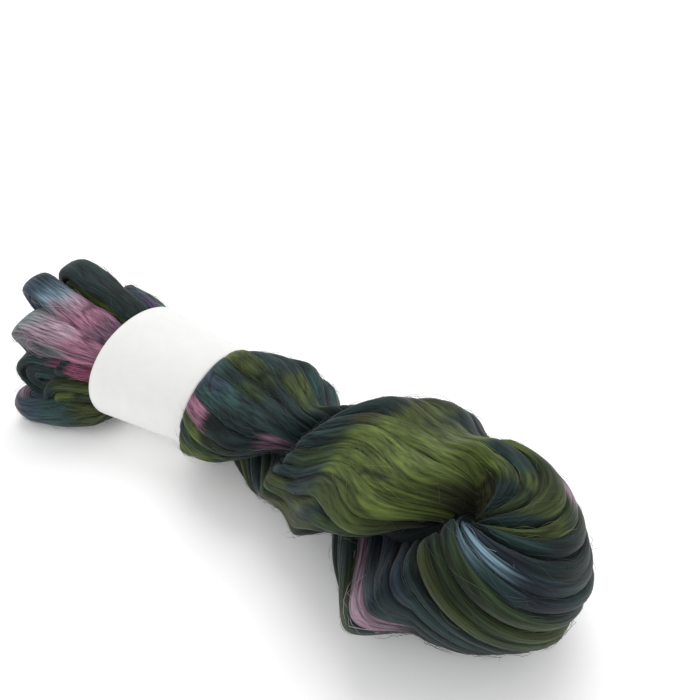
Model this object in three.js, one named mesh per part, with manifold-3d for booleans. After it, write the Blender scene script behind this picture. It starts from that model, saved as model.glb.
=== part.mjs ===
// Hank of dyed cotton top for hand spinning, held by a plain paper band.
// Millimetres, +Z up. The hank lies along X: its open loops fan out at -X, the paper band is its
// waist, and the doubled, twisted rope swells towards the folded end at +X.
import * as THREE from 'three';
import { mergeVertices } from 'three/addons/utils/BufferGeometryUtils.js';
import Module from 'manifold-3d';

const wasm = await Module();
wasm.setup();

// Paper band: a strip 76 mm wide, closed into a slightly conical ring about 263 mm round.
// middle: station of its centre; yaw and pitch: how it sits askew on the hank, degrees
const BAND = { width: 76, paper: 1.0, gap: 0.3, middle: 3, yaw: 8, pitch: 10, sides: 64 };
// Outside of the paper at the rim by the loops, and at the rim by the rope; centre: height above the floor
const BAND_RIMS = {
  loops: { halfWidth: 48, halfHeight: 43.5, centre: 45.5 },
  rope: { halfWidth: 40, halfHeight: 36, centre: 39.5 },
};
// The cotton fills the band almost from rim to rim, and is pressed in a little past both rims.
// filled: share of the band's length; around: how far outside the paper the pressing reaches
const WAIST = { filled: 0.97, around: 60 };

// The rope: two plies wound left-handed about each other, which are one bundle folded at +X.
// turn: angle of the winding in half turns, 0 where the first ply lies on the near side (-Y)
// roll, back: turning of the strands about their own ply, in half turns, in the first and in the second
const ROPE = [
  { x: 2, turn: 0.06, roll: 0.0, back: 0.0, halfWidth: 31, halfHeight: 28, sway: 1, lift: 41 },
  { x: 33, turn: 0.15, roll: 0.1, back: 0.1, halfWidth: 41, halfHeight: 35, sway: 5, lift: 37 },
  { x: 64, turn: 0.25, roll: 0.38, back: 0.38, halfWidth: 49, halfHeight: 41, sway: 9, lift: 40 },
  { x: 92, turn: 0.37, roll: 0.6, back: 0.6, halfWidth: 48, halfHeight: 41, sway: 9, lift: 40 },
  { x: 114, turn: 0.54, roll: 0.86, back: 0.86, halfWidth: 40, halfHeight: 37, sway: 4, lift: 41 },
  { x: 132, turn: 0.8, roll: 1.2, back: 1.2, halfWidth: 35, halfHeight: 33, sway: -6, lift: 42 },
  { x: 150, turn: 1.1, roll: 1.66, back: 1.66, halfWidth: 40, halfHeight: 39, sway: -4, lift: 45 },
  { x: 174, turn: 1.37, roll: 1.93, back: 1.93, halfWidth: 54, halfHeight: 46, sway: 1, lift: 47 },
  { x: 206, turn: 1.57, roll: 2.21, back: 2.21, halfWidth: 64, halfHeight: 50, sway: -3, lift: 45 },
  { x: 222, turn: 1.74, roll: 2.57, back: 2.47, halfWidth: 62, halfHeight: 51, sway: -6, lift: 44 },
  { x: 238, turn: 1.92, roll: 3.0, back: 2.76, halfWidth: 55.5, halfHeight: 48, sway: -1.5, lift: 46.5 },
];
const ROPE_STEPS = 32;
// evenness: how evenly the strands share the wide and the narrow sides of a ply's section, 0 to 1
const PLY = { centre: 0.5, depth: 0.485, breadth: 0.9, squareness: 2.15, evenness: 0.6 };
const STRANDS = { count: 12, ridges: [0.89, 0.99, 0.99] };
const FOLD = { reach: 62, roll: 0.75, steps: 9 };
// Heart between the plies; before and after: how far inside the rope's two ends it stops
const CORE = { depth: 0.34, breadth: 0.6, sides: 8, steps: 20, before: 1, after: 3 };

// Loops that leave the band at -X, each a bundle folded on itself, so that its two legs lie side by
// side. Root: place in the mouth of the band; tip: furthest point; half: half the width of the two legs
// at the tip; thick: half their thickness; lean: turn of the loop's plane from upright, degrees
const LOOPS = {
  top: { rootY: -22, rootZ: 68, tipX: -127, tipY: -26, tipZ: 90, half: 16, thick: 14, lean: 20 },
  fan: { rootY: -32, rootZ: 58, tipX: -115, tipY: -48, tipZ: 64, half: 22, thick: 15, lean: 15 },
  backTop: { rootY: 0, rootZ: 76, tipX: -122, tipY: 0, tipZ: 88, half: 20, thick: 12, lean: 5 },
  small: { rootY: -40, rootZ: 48, tipX: -74, tipY: -46, tipZ: 46, half: 10, thick: 9, lean: 30 },
  middle: { rootY: -28, rootZ: 38, tipX: -115, tipY: -56, tipZ: 36, half: 20, thick: 14, lean: 0 },
  nearLow: { rootY: -38, rootZ: 28, tipX: -83, tipY: -54, tipZ: 24, half: 18, thick: 14, lean: 0 },
  bottom: { rootY: -30, rootZ: 16, tipX: -112, tipY: -68, tipZ: 12, half: 20, thick: 12, lean: 85 },
  backHigh: { rootY: 26, rootZ: 58, tipX: -106, tipY: 34, tipZ: 58, half: 21, thick: 15, lean: 40 },
  backLow: { rootY: 22, rootZ: 24, tipX: -116, tipY: 30, tipZ: 16, half: 23, thick: 15, lean: 75 },
  heart: { rootY: 0, rootZ: 44, tipX: -121, tipY: -12, tipZ: 44, half: 25, thick: 18, lean: 20 },
};
// Form of every loop. station, gather: where it starts inside the band, and how far it has drawn
// towards the band's middle there; crease, narrowness: depth of the crease between its legs, as a
// share of the thickness, and how narrow it is; neck: share of its width at the start; widest: where
// along its length it is full; bluntness: how blunt its tip is
const LOOP = {
  sides: 12, steps: 8, station: -8, gather: 0.3, crease: 0.24, narrowness: 6, neck: 0.6, widest: 0.7, bluntness: 3,
};

// Ripples of the surface smaller than this are left out
const FINEST = 0.1;

/** Value of a table's column at x: a cubic through the rows, its slopes those of the rows either side. */
function along(table, column, x) {
  const last = table.length - 1;
  const at = THREE.MathUtils.clamp(x, table[0].x, table[last].x);
  let i = 0;
  while (i < last - 1 && at > table[i + 1].x) i += 1;
  const slope = (k) => {
    const [a, b] = [table[Math.max(k - 1, 0)], table[Math.min(k + 1, last)]];
    return (b[column] - a[column]) / (b.x - a.x);
  };
  const span = table[i + 1].x - table[i].x;
  const u = (at - table[i].x) / span;
  const [p, q] = [table[i][column], table[i + 1][column]];
  const [m, n] = [slope(i) * span, slope(i + 1) * span];
  const rise = u * u * (3 - 2 * u);
  return p + (q - p) * rise + m * u * (1 - u) ** 2 - n * u * u * (1 - u);
}

/** Closed solid of rings of points, each ring a row, with a flat fan at both ends. */
function loft(rings) {
  const sides = rings[0].length;
  const vertices = rings.flat().flatMap((p) => [p.x, p.y, p.z]);
  const faces = [];
  for (let i = 0; i + 1 < rings.length; i += 1) {
    for (let j = 0; j < sides; j += 1) {
      const [a, b] = [i * sides + j, i * sides + (j + 1) % sides];
      faces.push(a, b, a + sides, b, b + sides, a + sides);
    }
  }
  for (const [row, flip] of [[0, true], [rings.length - 1, false]]) {
    const middle = vertices.length / 3;
    const sum = rings[row].reduce((total, p) => total.add(p), new THREE.Vector3());
    vertices.push(...sum.divideScalar(sides).toArray());
    for (let j = 0; j < sides; j += 1) {
      const [a, b] = [row * sides + j, row * sides + (j + 1) % sides];
      faces.push(...(flip ? [b, a, middle] : [a, b, middle]));
    }
  }
  return new wasm.Manifold(new wasm.Mesh({
    numProp: 3,
    vertProperties: new Float32Array(vertices),
    triVerts: new Uint32Array(faces),
  }));
}

/** Point of the rope: station x, fold angle (0 first ply, pi second ply), place in the ply's section. */
function ropePoint(x, fold, radial, tangential) {
  const angle = Math.PI * (1 - along(ROPE, 'turn', x));
  const [c, s] = [Math.cos(angle), Math.sin(angle)];
  const out = radial * Math.cos(fold);
  return new THREE.Vector3(
    x + FOLD.reach * radial * Math.sin(fold),
    along(ROPE, 'sway', x) + along(ROPE, 'halfWidth', x) * (out * c - tangential * s),
    along(ROPE, 'lift', x) + along(ROPE, 'halfHeight', x) * (out * s + tangential * c),
  );
}

/** Place in a ply's section, on its edge, of the strand at an angle; share: 1 on the edge, 0 in the middle. */
function plyPoint(x, fold, angle, share) {
  const heading = new THREE.Vector2(
    Math.cos(angle) * PLY.depth ** PLY.evenness,
    Math.sin(angle) * PLY.breadth ** PLY.evenness,
  ).normalize();
  const [deep, wide] = [Math.abs(heading.x) / PLY.depth, Math.abs(heading.y) / PLY.breadth];
  const edge = (deep ** PLY.squareness + wide ** PLY.squareness) ** (-1 / PLY.squareness);
  return ropePoint(x, fold, PLY.centre + share * edge * heading.x, share * edge * heading.y);
}

/** Ring of points round one ply: a rounded D section with a ridge for each strand. */
function plyRing(x, fold, roll) {
  const points = [];
  const sides = STRANDS.count * STRANDS.ridges.length;
  for (let j = 0; j < sides; j += 1) {
    const angle = (2 * Math.PI * j) / sides + Math.PI * roll;
    points.push(plyPoint(x, fold, angle, STRANDS.ridges[j % STRANDS.ridges.length]));
  }
  return points;
}

/** The folded bundle: out along the first ply, round the fold and back along the second. */
function bundle() {
  const [start, end] = [ROPE[0].x, ROPE[ROPE.length - 1].x];
  const rolled = along(ROPE, 'roll', end);
  const folded = rolled + FOLD.roll + along(ROPE, 'back', end);
  const rings = [];
  for (let i = 0; i <= ROPE_STEPS; i += 1) {
    const x = THREE.MathUtils.lerp(start, end, i / ROPE_STEPS);
    rings.push(plyRing(x, 0, along(ROPE, 'roll', x)));
  }
  for (let i = 1; i < FOLD.steps; i += 1) {
    const part = i / FOLD.steps;
    rings.push(plyRing(end, Math.PI * part, rolled + FOLD.roll * Math.sin(0.5 * Math.PI * part)));
  }
  for (let i = ROPE_STEPS; i >= 0; i -= 1) {
    const x = THREE.MathUtils.lerp(start, end, i / ROPE_STEPS);
    rings.push(plyRing(x, Math.PI, folded - along(ROPE, 'back', x)));
  }
  return loft(rings);
}

/** Flat twisted heart that joins the two plies along the middle of the rope. */
function core() {
  const [start, end] = [ROPE[0].x + CORE.before, ROPE[ROPE.length - 1].x + CORE.after];
  const rings = [];
  for (let i = 0; i <= CORE.steps; i += 1) {
    const x = THREE.MathUtils.lerp(start, end, i / CORE.steps);
    const ring = [];
    for (let j = 0; j < CORE.sides; j += 1) {
      const angle = (2 * Math.PI * j) / CORE.sides;
      const point = ropePoint(x, 0, CORE.depth * Math.cos(angle), CORE.breadth * Math.sin(angle));
      ring.push(point.setX(x));
    }
    rings.push(ring);
  }
  return loft(rings);
}

/** Point of the band's cone: place along its axis from -1 to 1, angle round it, inset from the outside. */
function bandPoint(place, angle, inset) {
  const part = (place + 1) / 2;
  const mix = (column) => THREE.MathUtils.lerp(BAND_RIMS.loops[column], BAND_RIMS.rope[column], part);
  const yaw = THREE.MathUtils.degToRad(BAND.yaw);
  const pitch = THREE.MathUtils.degToRad(BAND.pitch);
  const across = (mix('halfWidth') - inset) * Math.cos(angle);
  const rise = (mix('halfHeight') - inset) * Math.sin(angle);
  const axial = (place * BAND.width) / 2 + rise * Math.sin(pitch);
  return new THREE.Vector3(
    BAND.middle + axial * Math.cos(yaw) - across * Math.sin(yaw),
    axial * Math.sin(yaw) + across * Math.cos(yaw),
    mix('centre') + rise * Math.cos(pitch),
  );
}

/** Solid piece of the band's cone: reach is its half length as a share of the band's, inset as above. */
function cone(reach, inset) {
  const rings = [];
  for (const place of [-reach, reach]) {
    const ring = [];
    for (let j = 0; j < BAND.sides; j += 1) ring.push(bandPoint(place, (2 * Math.PI * j) / BAND.sides, inset));
    rings.push(ring);
  }
  return loft(rings);
}

/** Ring about the band's axis from one inset to a deeper one, open at both its ends. */
function tube(reach, outer, inner) {
  const past = 1.01;
  return cone(reach, outer).subtract(cone(reach * past, inner));
}

/** One loop: a paddle with a crease along both its faces, between the legs, and a rounded tip. */
function loop(row) {
  const root = bandPoint(-1, 0, 0).setY(row.rootY).setZ(row.rootZ);
  const start = root.clone().lerp(bandPoint(0, 0, 0).setY(0), LOOP.gather).setX(LOOP.station);
  const tip = new THREE.Vector3(row.tipX, row.tipY, row.tipZ);
  const path = new THREE.QuadraticBezierCurve3(start, root, tip);
  const lean = THREE.MathUtils.degToRad(row.lean);
  const rings = [];
  for (let i = 0; i < LOOP.steps; i += 1) {
    const part = Math.sin((0.5 * Math.PI * i) / LOOP.steps);
    const centre = path.getPoint(part);
    const ahead = path.getTangent(part);
    const level = new THREE.Vector3(-ahead.y, ahead.x, 0).normalize();
    const up = new THREE.Vector3().crossVectors(ahead, level);
    const legs = up.clone().multiplyScalar(Math.cos(lean)).addScaledVector(level, Math.sin(lean));
    const face = new THREE.Vector3().crossVectors(ahead, legs);
    const beyond = Math.max(0, (part - LOOP.widest) / (1 - LOOP.widest));
    const cap = Math.sqrt(1 - beyond ** LOOP.bluntness);
    const swell = THREE.MathUtils.lerp(LOOP.neck, 1, THREE.MathUtils.smoothstep(part, 0, LOOP.widest)) * cap;
    const ring = [];
    for (let j = 0; j < LOOP.sides; j += 1) {
      const angle = (2 * Math.PI * j) / LOOP.sides;
      const crease = 1 - LOOP.crease * Math.sin(angle) ** LOOP.narrowness;
      const point = centre.clone().addScaledVector(legs, row.half * swell * Math.cos(angle));
      ring.push(point.addScaledVector(face, row.thick * swell * crease * Math.sin(angle)));
    }
    rings.push(ring);
  }
  return loft(rings);
}

/** The outer body of a solid, without the closed pockets left where strands meet inside it. */
function outerBody(solid) {
  const bodies = solid.decompose();
  return bodies.reduce((best, body) => (body.volume() > best.volume() ? body : best));
}

/** The hank: rope, heart, waist and loops as one solid, pinched to the inside of the band. */
function hank() {
  const inside = BAND.paper + BAND.gap;
  const pressed = 1 + (2 * BAND.gap) / BAND.width;
  const waist = cone(WAIST.filled, inside);
  let solid = bundle().add(core());
  for (const row of Object.values(LOOPS)) solid = solid.add(loop(row));
  const lying = solid.subtract(tube(pressed, -WAIST.around, inside)).add(waist).trimByPlane([0, 0, 1], 0);
  return outerBody(lying.simplify(FINEST));
}

/** Named mesh of a solid. */
function mesh(name, solid, material) {
  const { vertProperties, triVerts } = solid.getMesh();
  const geometry = new THREE.BufferGeometry();
  geometry.setAttribute('position', new THREE.BufferAttribute(vertProperties, 3));
  geometry.setIndex(new THREE.BufferAttribute(triVerts, 1));
  const result = new THREE.Mesh(mergeVertices(geometry), material);
  result.name = name;
  return result;
}

const cotton = new THREE.MeshStandardMaterial({ color: 0x3d4a26, roughness: 0.9, metalness: 0 });
const paper = new THREE.MeshStandardMaterial({ color: 0xf1f1ef, roughness: 0.7, metalness: 0 });

const part = new THREE.Group();
part.add(mesh('hank', hank(), cotton), mesh('paper_band', tube(1, 0, BAND.paper), paper));

// The origin is in the middle of the whole, on the surface that it lies on
const box = new THREE.Box3().setFromObject(part);
const middle = box.getCenter(new THREE.Vector3());
part.position.set(-middle.x, -middle.y, 0);

export default part;
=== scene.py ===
"""Hank of dyed combed cotton top with its plain paper band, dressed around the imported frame.

Millimetres inside the classes, in the part's own frame; metres in Blender. The hank lies along X, its
open loops at -X, the paper band at its waist and the fold of its two-ply rope at +X.
"""

from __future__ import annotations

import logging
import math
from dataclasses import dataclass, field
from enum import Enum
from typing import NamedTuple

import bpy
import numpy as np
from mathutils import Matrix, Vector


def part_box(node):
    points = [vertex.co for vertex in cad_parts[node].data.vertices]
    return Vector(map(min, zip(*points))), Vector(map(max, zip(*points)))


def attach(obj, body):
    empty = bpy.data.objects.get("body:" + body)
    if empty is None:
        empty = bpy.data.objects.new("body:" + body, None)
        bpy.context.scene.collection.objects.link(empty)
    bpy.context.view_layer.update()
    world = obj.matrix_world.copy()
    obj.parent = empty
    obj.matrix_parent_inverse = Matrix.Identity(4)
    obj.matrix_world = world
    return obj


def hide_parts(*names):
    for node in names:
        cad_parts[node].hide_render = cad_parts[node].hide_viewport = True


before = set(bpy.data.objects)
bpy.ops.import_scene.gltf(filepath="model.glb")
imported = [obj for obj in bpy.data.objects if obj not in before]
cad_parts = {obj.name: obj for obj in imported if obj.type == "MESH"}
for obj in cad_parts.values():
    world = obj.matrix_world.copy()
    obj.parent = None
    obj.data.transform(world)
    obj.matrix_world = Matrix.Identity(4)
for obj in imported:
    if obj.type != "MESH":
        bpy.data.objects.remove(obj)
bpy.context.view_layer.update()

LOG = logging.getLogger("hank")
METRE = 0.001
HALF_TURN = 180.0
ROPE_SEED, FIBRE_SEED, LOOP_SEED, PAPER_SEED = 20, 97, 520, 920


class Dye(Enum):
    """Dyed colours of the cotton, as sRGB hex values of fibre in full light."""

    SPRUCE = "#182727"
    TEAL = "#253b3a"
    SLATE = "#2b3945"
    NAVY = "#19232c"
    GREEN = "#25321e"
    BARK = "#262817"
    OLIVE = "#424e23"
    MOSS = "#323c1e"
    PINK = "#875c70"
    RASPBERRY = "#80465f"
    MAUVE = "#644a5c"
    PLUM = "#41364e"
    LILAC = "#846f7c"
    PEARL = "#646a6d"
    MIST = "#5c727e"


(SPRUCE, TEAL, SLATE, NAVY, GREEN, BARK, OLIVE, MOSS, PINK, RASPBERRY, MAUVE, PLUM, LILAC, PEARL,
 MIST) = Dye
# A strand's dyes: the first, then in turn the place where the next one starts, and that dye
Stops = tuple[Dye | float, ...]


def linear(code: str) -> np.ndarray:
    """Linear RGB, three numbers from 0 to 1, of an sRGB hex value such as "#62742c"."""
    value = np.array([int(code[i:i + 2], 16) for i in (1, 3, 5)]) / 255
    return np.where(value <= 0.04045, value / 12.92, ((value + 0.055) / 1.055) ** 2.4)


def smooth(value: np.ndarray) -> np.ndarray:
    """Soft step: 0 below 0, 1 above 1, and three squares less two cubes between."""
    t = np.clip(value, 0, 1)
    return t * t * (3 - 2 * t)


def unit(vectors: np.ndarray) -> np.ndarray:
    """The vectors, each divided by its length."""
    return vectors / np.maximum(np.linalg.norm(vectors, axis=-1, keepdims=True), 1e-9)


def ripple(around: np.ndarray, ahead: np.ndarray, lanes: int, seed: int) -> np.ndarray:
    """Smooth random field from -1 to 1 that closes on itself around a strand.

    Random values on a lattice of so many lanes around and one row for each unit ahead, joined by soft
    steps both ways.

    Args:
        around: place around, one turn for 0 to 1.
        ahead: place along, in rows of the lattice, not negative.
        lanes: lattice points around.
        seed: of the random values.

    Returns:
        The field's value at each place.
    """
    rows = int(np.max(ahead)) + 2
    lattice = np.random.default_rng(seed).uniform(-1, 1, (rows, lanes))
    u = np.mod(around, 1.0) * lanes
    j, i = np.floor(u).astype(int), np.floor(ahead).astype(int)
    p, q = smooth(u - j), smooth(ahead - i)
    j0, j1 = j % lanes, (j + 1) % lanes
    low = lattice[i, j0] * (1 - p) + lattice[i, j1] * p
    high = lattice[i + 1, j0] * (1 - p) + lattice[i + 1, j1] * p
    return low * (1 - q) + high * q


@dataclass(frozen=True)
class Wave:
    """A slow random change over a surface: how much, over what length, and in how many lanes around."""

    size: float
    length: float
    lanes: int = 1

    def field(self, around: np.ndarray, ahead: np.ndarray, seed: int) -> np.ndarray:
        """Its value at places around, 0 to 1 for a turn, and ahead, in the length's unit."""
        return self.size * ripple(around, ahead / self.length, self.lanes, seed)


def blunt(wave: np.ndarray, power: float) -> np.ndarray:
    """A sine or cosine to a power, its sign kept: below 1 it makes an oval fuller at its corners."""
    return np.sign(wave) * np.abs(wave) ** power


def through(stations: np.ndarray, values: np.ndarray, x: np.ndarray) -> np.ndarray:
    """Cubic through a table's values, each slope that of the rows either side.

    Args:
        stations: the table's places, rising.
        values: the column's values there.
        x: where to read it; held at the table's ends.

    Returns:
        The column's value at each x.
    """
    last = len(stations) - 1
    at = np.clip(x, stations[0], stations[last])
    i = np.clip(np.searchsorted(stations, at, side="left") - 1, 0, last - 1)
    before, after = np.maximum(np.arange(last + 1) - 1, 0), np.minimum(np.arange(last + 1) + 1, last)
    slope = (values[after] - values[before]) / (stations[after] - stations[before])
    span = stations[i + 1] - stations[i]
    u = (at - stations[i]) / span
    start, end = values[i], values[i + 1]
    lift, fall = slope[i] * span * u * (1 - u) ** 2, slope[i + 1] * span * u * u * (1 - u)
    return start + (end - start) * smooth(u) + lift - fall


@dataclass(frozen=True)
class BandForm:
    """Form of the paper band: a strip closed into a slightly conical ring, askew on the hank.

    Half widths, half heights and centres are pairs: at the rim by the loops, at the rim by the rope.
    Cone reach: how far past its middle the cone is carried on, in half widths of the strip. Farthest:
    where squeeze starts to look for a place, in the same unit.
    """

    width: float = 76.0
    paper: float = 1.0
    gap: float = 0.3
    middle: float = 3.0
    yaw: float = 8.0
    pitch: float = 10.0
    half_width: tuple[float, float] = (48.0, 40.0)
    half_height: tuple[float, float] = (43.5, 36.0)
    centre: tuple[float, float] = (45.5, 39.5)
    bulge: float = 9.0
    firmness: float = 14.0
    cone_reach: float = 1.3
    farthest: float = 3.0
    rounds: int = 4

    def mix(self, pair: tuple[float, float], place: np.ndarray) -> np.ndarray:
        """Value between the two rims, along the cone, at a place from -1 to 1."""
        return pair[0] + (pair[1] - pair[0]) * (place + 1) / 2

    def set_out(self, place: np.ndarray, held: np.ndarray, across: np.ndarray,
                rise: np.ndarray) -> np.ndarray:
        """Points from the band's own axes: the section leans by the pitch and turns by the yaw.

        Args:
            place: along the axis, -1 at the loops' rim and 1 at the rope's rim.
            held: the place at which the height of the section's centre is read.
            across: level distance from the axis.
            rise: distance from the axis up the leaned section.

        Returns:
            Points, the last axis x, y, z.
        """
        yaw, pitch = math.radians(self.yaw), math.radians(self.pitch)
        axial = place * self.width / 2 + rise * math.sin(pitch)
        x = self.middle + axial * math.cos(yaw) - across * math.sin(yaw)
        y = axial * math.sin(yaw) + across * math.cos(yaw)
        z = self.mix(self.centre, held) + rise * math.cos(pitch)
        return np.stack(np.broadcast_arrays(x, y, z), -1)

    def point(self, place: np.ndarray, angle: np.ndarray, inset: np.ndarray) -> np.ndarray:
        """Point of the cone, an ellipse at each place.

        Args:
            place: along the axis, as in set_out.
            angle: round the axis, radians, 0 on the far side and a quarter turn at the top.
            inset: distance inside the outer face.

        Returns:
            Points, the last axis x, y, z.
        """
        across = (self.mix(self.half_width, place) - inset) * np.cos(angle)
        rise = (self.mix(self.half_height, place) - inset) * np.sin(angle)
        return self.set_out(place, place, across, rise)

    def past_rims(self, points: np.ndarray) -> np.ndarray:
        """How far points lie past the nearer rim along the band's axis, below 0 inside the band."""
        yaw, lean = math.radians(self.yaw), math.tan(math.radians(self.pitch))
        axial = (points[..., 0] - self.middle) * math.cos(yaw) + points[..., 1] * math.sin(yaw)
        return np.abs(axial - (points[..., 2] - np.mean(self.centre)) * lean) - self.width / 2

    def squeeze(self, points: np.ndarray) -> np.ndarray:
        """Draws cotton in to the inside of the band, and lets it bulge past both rims.

        Each point is read in the band's own axes, its place by a few rounds of correction for the lean.
        Its share of the ellipse is held under a limit, which is 1 inside the band and grows past a rim
        as the square root of the distance, like a round shoulder.

        Args:
            points: of the cotton.

        Returns:
            The points, drawn in.
        """
        yaw, pitch = math.radians(self.yaw), math.radians(self.pitch)
        dx, dy = points[..., 0] - self.middle, points[..., 1]
        axial = dx * math.cos(yaw) + dy * math.sin(yaw)
        across = -dx * math.sin(yaw) + dy * math.cos(yaw)
        place = np.clip(axial / (self.width / 2), -self.farthest, self.farthest)
        for _ in range(self.rounds):
            held = np.clip(place, -self.cone_reach, self.cone_reach)
            rise = (points[..., 2] - self.mix(self.centre, held)) / math.cos(pitch)
            place = (axial - rise * math.sin(pitch)) / (self.width / 2)
        held = np.clip(place, -self.cone_reach, self.cone_reach)
        inside = self.paper + self.gap
        wide = self.mix(self.half_width, held) - inside
        high = self.mix(self.half_height, held) - inside
        share = np.hypot(across / wide, rise / high)
        past = np.maximum(np.abs(place) - 1, 0) * self.width / 2
        limit = 1 + np.sqrt(2 * self.bulge * past) / wide + past / wide
        scale = (1 + (share / limit) ** self.firmness) ** (-1 / self.firmness)
        return self.set_out(place, held, across * scale, rise * scale)


BAND = BandForm()


def rest_on_floor(points: np.ndarray) -> np.ndarray:
    """Lifts what lies under the floor on to it, and eases what lies just above.

    The new height is half of z plus half the root of z squared plus softness squared.
    """
    softness = 1.6
    z = points[..., 2:]
    return np.concatenate([points[..., :2], 0.5 * (z + np.sqrt(z * z + softness**2))], -1)


def grid_normals(points: np.ndarray) -> np.ndarray:
    """Unit normals of a tube's grid, rows along it and columns around it, outward as it should be.

    The cross product of the step around and the step along, by central differences.
    """
    ahead = np.gradient(points, axis=0)
    around = np.roll(points, -1, axis=1) - np.roll(points, 1, axis=1)
    return unit(np.cross(around, ahead))


@dataclass
class Draft:
    """Vertices, faces and attributes of one piece, gathered grid by grid."""

    name: str
    points: list[np.ndarray] = field(default_factory=list)
    faces: list[np.ndarray] = field(default_factory=list)
    colours: list[np.ndarray] = field(default_factory=list)
    fibres: list[np.ndarray] = field(default_factory=list)
    count: int = 0

    def add(self, points: np.ndarray, faces: np.ndarray, colours: np.ndarray,
            fibres: np.ndarray) -> None:
        """Adds vertices with their faces, colours and fibre coordinates.

        Args:
            points: a grid of them, millimetres.
            faces: m by 4, or m by 3, counted from this grid's first vertex.
            colours: of each point, linear.
            fibres: of each point: millimetres around and along, and the strand's number.
        """
        self.points.append(points.reshape(-1, 3))
        self.faces.append(faces + self.count)
        self.colours.append(colours.reshape(-1, 3))
        self.fibres.append(fibres.reshape(-1, 3))
        self.count += len(self.points[-1])

    def add_tube(self, points: np.ndarray, colours: np.ndarray, fibres: np.ndarray) -> None:
        """Adds a closed tube: its grid of quads, and a fan of triangles at each end.

        Args:
            points: rows along, columns around, 3.
            colours: the same shape.
            fibres: the same shape.
        """
        rows, columns = points.shape[:2]
        base = np.arange(rows * columns).reshape(rows, columns)
        a, b = base, np.roll(base, -1, axis=1)
        quads = np.stack([a[:-1], b[:-1], b[1:], a[1:]], -1).reshape(-1, 4)
        first, last = rows * columns, rows * columns + 1
        start = np.stack([b[0], a[0], np.full(columns, first)], -1)
        end = np.stack([a[-1], b[-1], np.full(columns, last)], -1)

        def with_ends(grid: np.ndarray) -> np.ndarray:
            """The grid's rows as a list, then the mean of its first row and of its last."""
            return np.concatenate([grid.reshape(-1, 3), grid[:1].mean(1), grid[-1:].mean(1)])

        whole = with_ends(points)
        self.add(whole, quads, with_ends(colours), with_ends(fibres))
        self.faces += [start + self.count - len(whole), end + self.count - len(whole)]

    def piece(self, finish: bpy.types.Material, shift: np.ndarray) -> bpy.types.Object:
        """Makes the Blender object.

        Args:
            finish: its material.
            shift: from the part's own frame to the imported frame, millimetres.

        Returns:
            The object, at the origin, smooth shaded.
        """
        points = (np.concatenate(self.points) + shift) * METRE
        mesh = bpy.data.meshes.new(self.name)
        mesh.vertices.add(len(points))
        mesh.vertices.foreach_set("co", points.astype(np.float32).ravel())
        sizes = np.concatenate([np.full(len(f), f.shape[1]) for f in self.faces])
        corners = np.concatenate([f.ravel() for f in self.faces])
        mesh.loops.add(len(corners))
        mesh.loops.foreach_set("vertex_index", corners.astype(np.int32))
        mesh.polygons.add(len(sizes))
        mesh.polygons.foreach_set("loop_start", (np.cumsum(sizes) - sizes).astype(np.int32))
        mesh.polygons.foreach_set("loop_total", sizes.astype(np.int32))
        # The attribute holds the dyes with painted shade in the creases and the rope's inside, and
        # painted sheen on loose fibres
        dye_shade_and_sheen = mesh.color_attributes.new("dye_shade_and_sheen", "FLOAT_COLOR", "POINT")
        full = np.ones((len(points), 4), np.float32)
        full[:, :3] = np.concatenate(self.colours)
        dye_shade_and_sheen.data.foreach_set("color", full.ravel())
        fibre = mesh.attributes.new("fibre", "FLOAT_VECTOR", "POINT")
        fibre.data.foreach_set("vector", np.concatenate(self.fibres).astype(np.float32).ravel())
        mesh.update(calc_edges=True)
        mesh.polygons.foreach_set("use_smooth", np.ones(len(sizes), bool))
        mesh.materials.append(finish)
        made = bpy.data.objects.new(self.name, mesh)
        bpy.context.scene.collection.objects.link(made)
        return made


def dyed(stops: Stops, place: np.ndarray, blur: float) -> np.ndarray:
    """Colour along a strand, each dye bleeding softly into the next.

    The first dye, plus for each later one its difference from the one before times a soft step that is
    twice the blur wide about its place.

    Args:
        stops: the dyes.
        place: along the strand, in the stops' unit.
        blur: half the width of a transition, in the same unit.

    Returns:
        Linear colours, one for each place.
    """
    dyes = [linear(dye_shade_and_sheen.value) for dye_shade_and_sheen in stops[::2]]
    colour = np.broadcast_to(dyes[0], (*place.shape, 3)).copy()
    for before, at, after in zip(dyes, stops[1::2], dyes[1:]):
        colour += (after - before) * smooth((place - at) / (2 * blur) + 0.5)[..., None]
    return colour


class Surface(NamedTuple):
    """A grid of finished cotton surface, which loose fibres may grow from."""

    points: np.ndarray
    normals: np.ndarray
    ahead: np.ndarray
    colours: np.ndarray

    def part(self, rows: int, columns: slice | np.ndarray) -> Surface:
        """The columns asked for, less so many rows at each end."""
        return Surface(*(grid[rows:-rows, columns] for grid in self))


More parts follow.
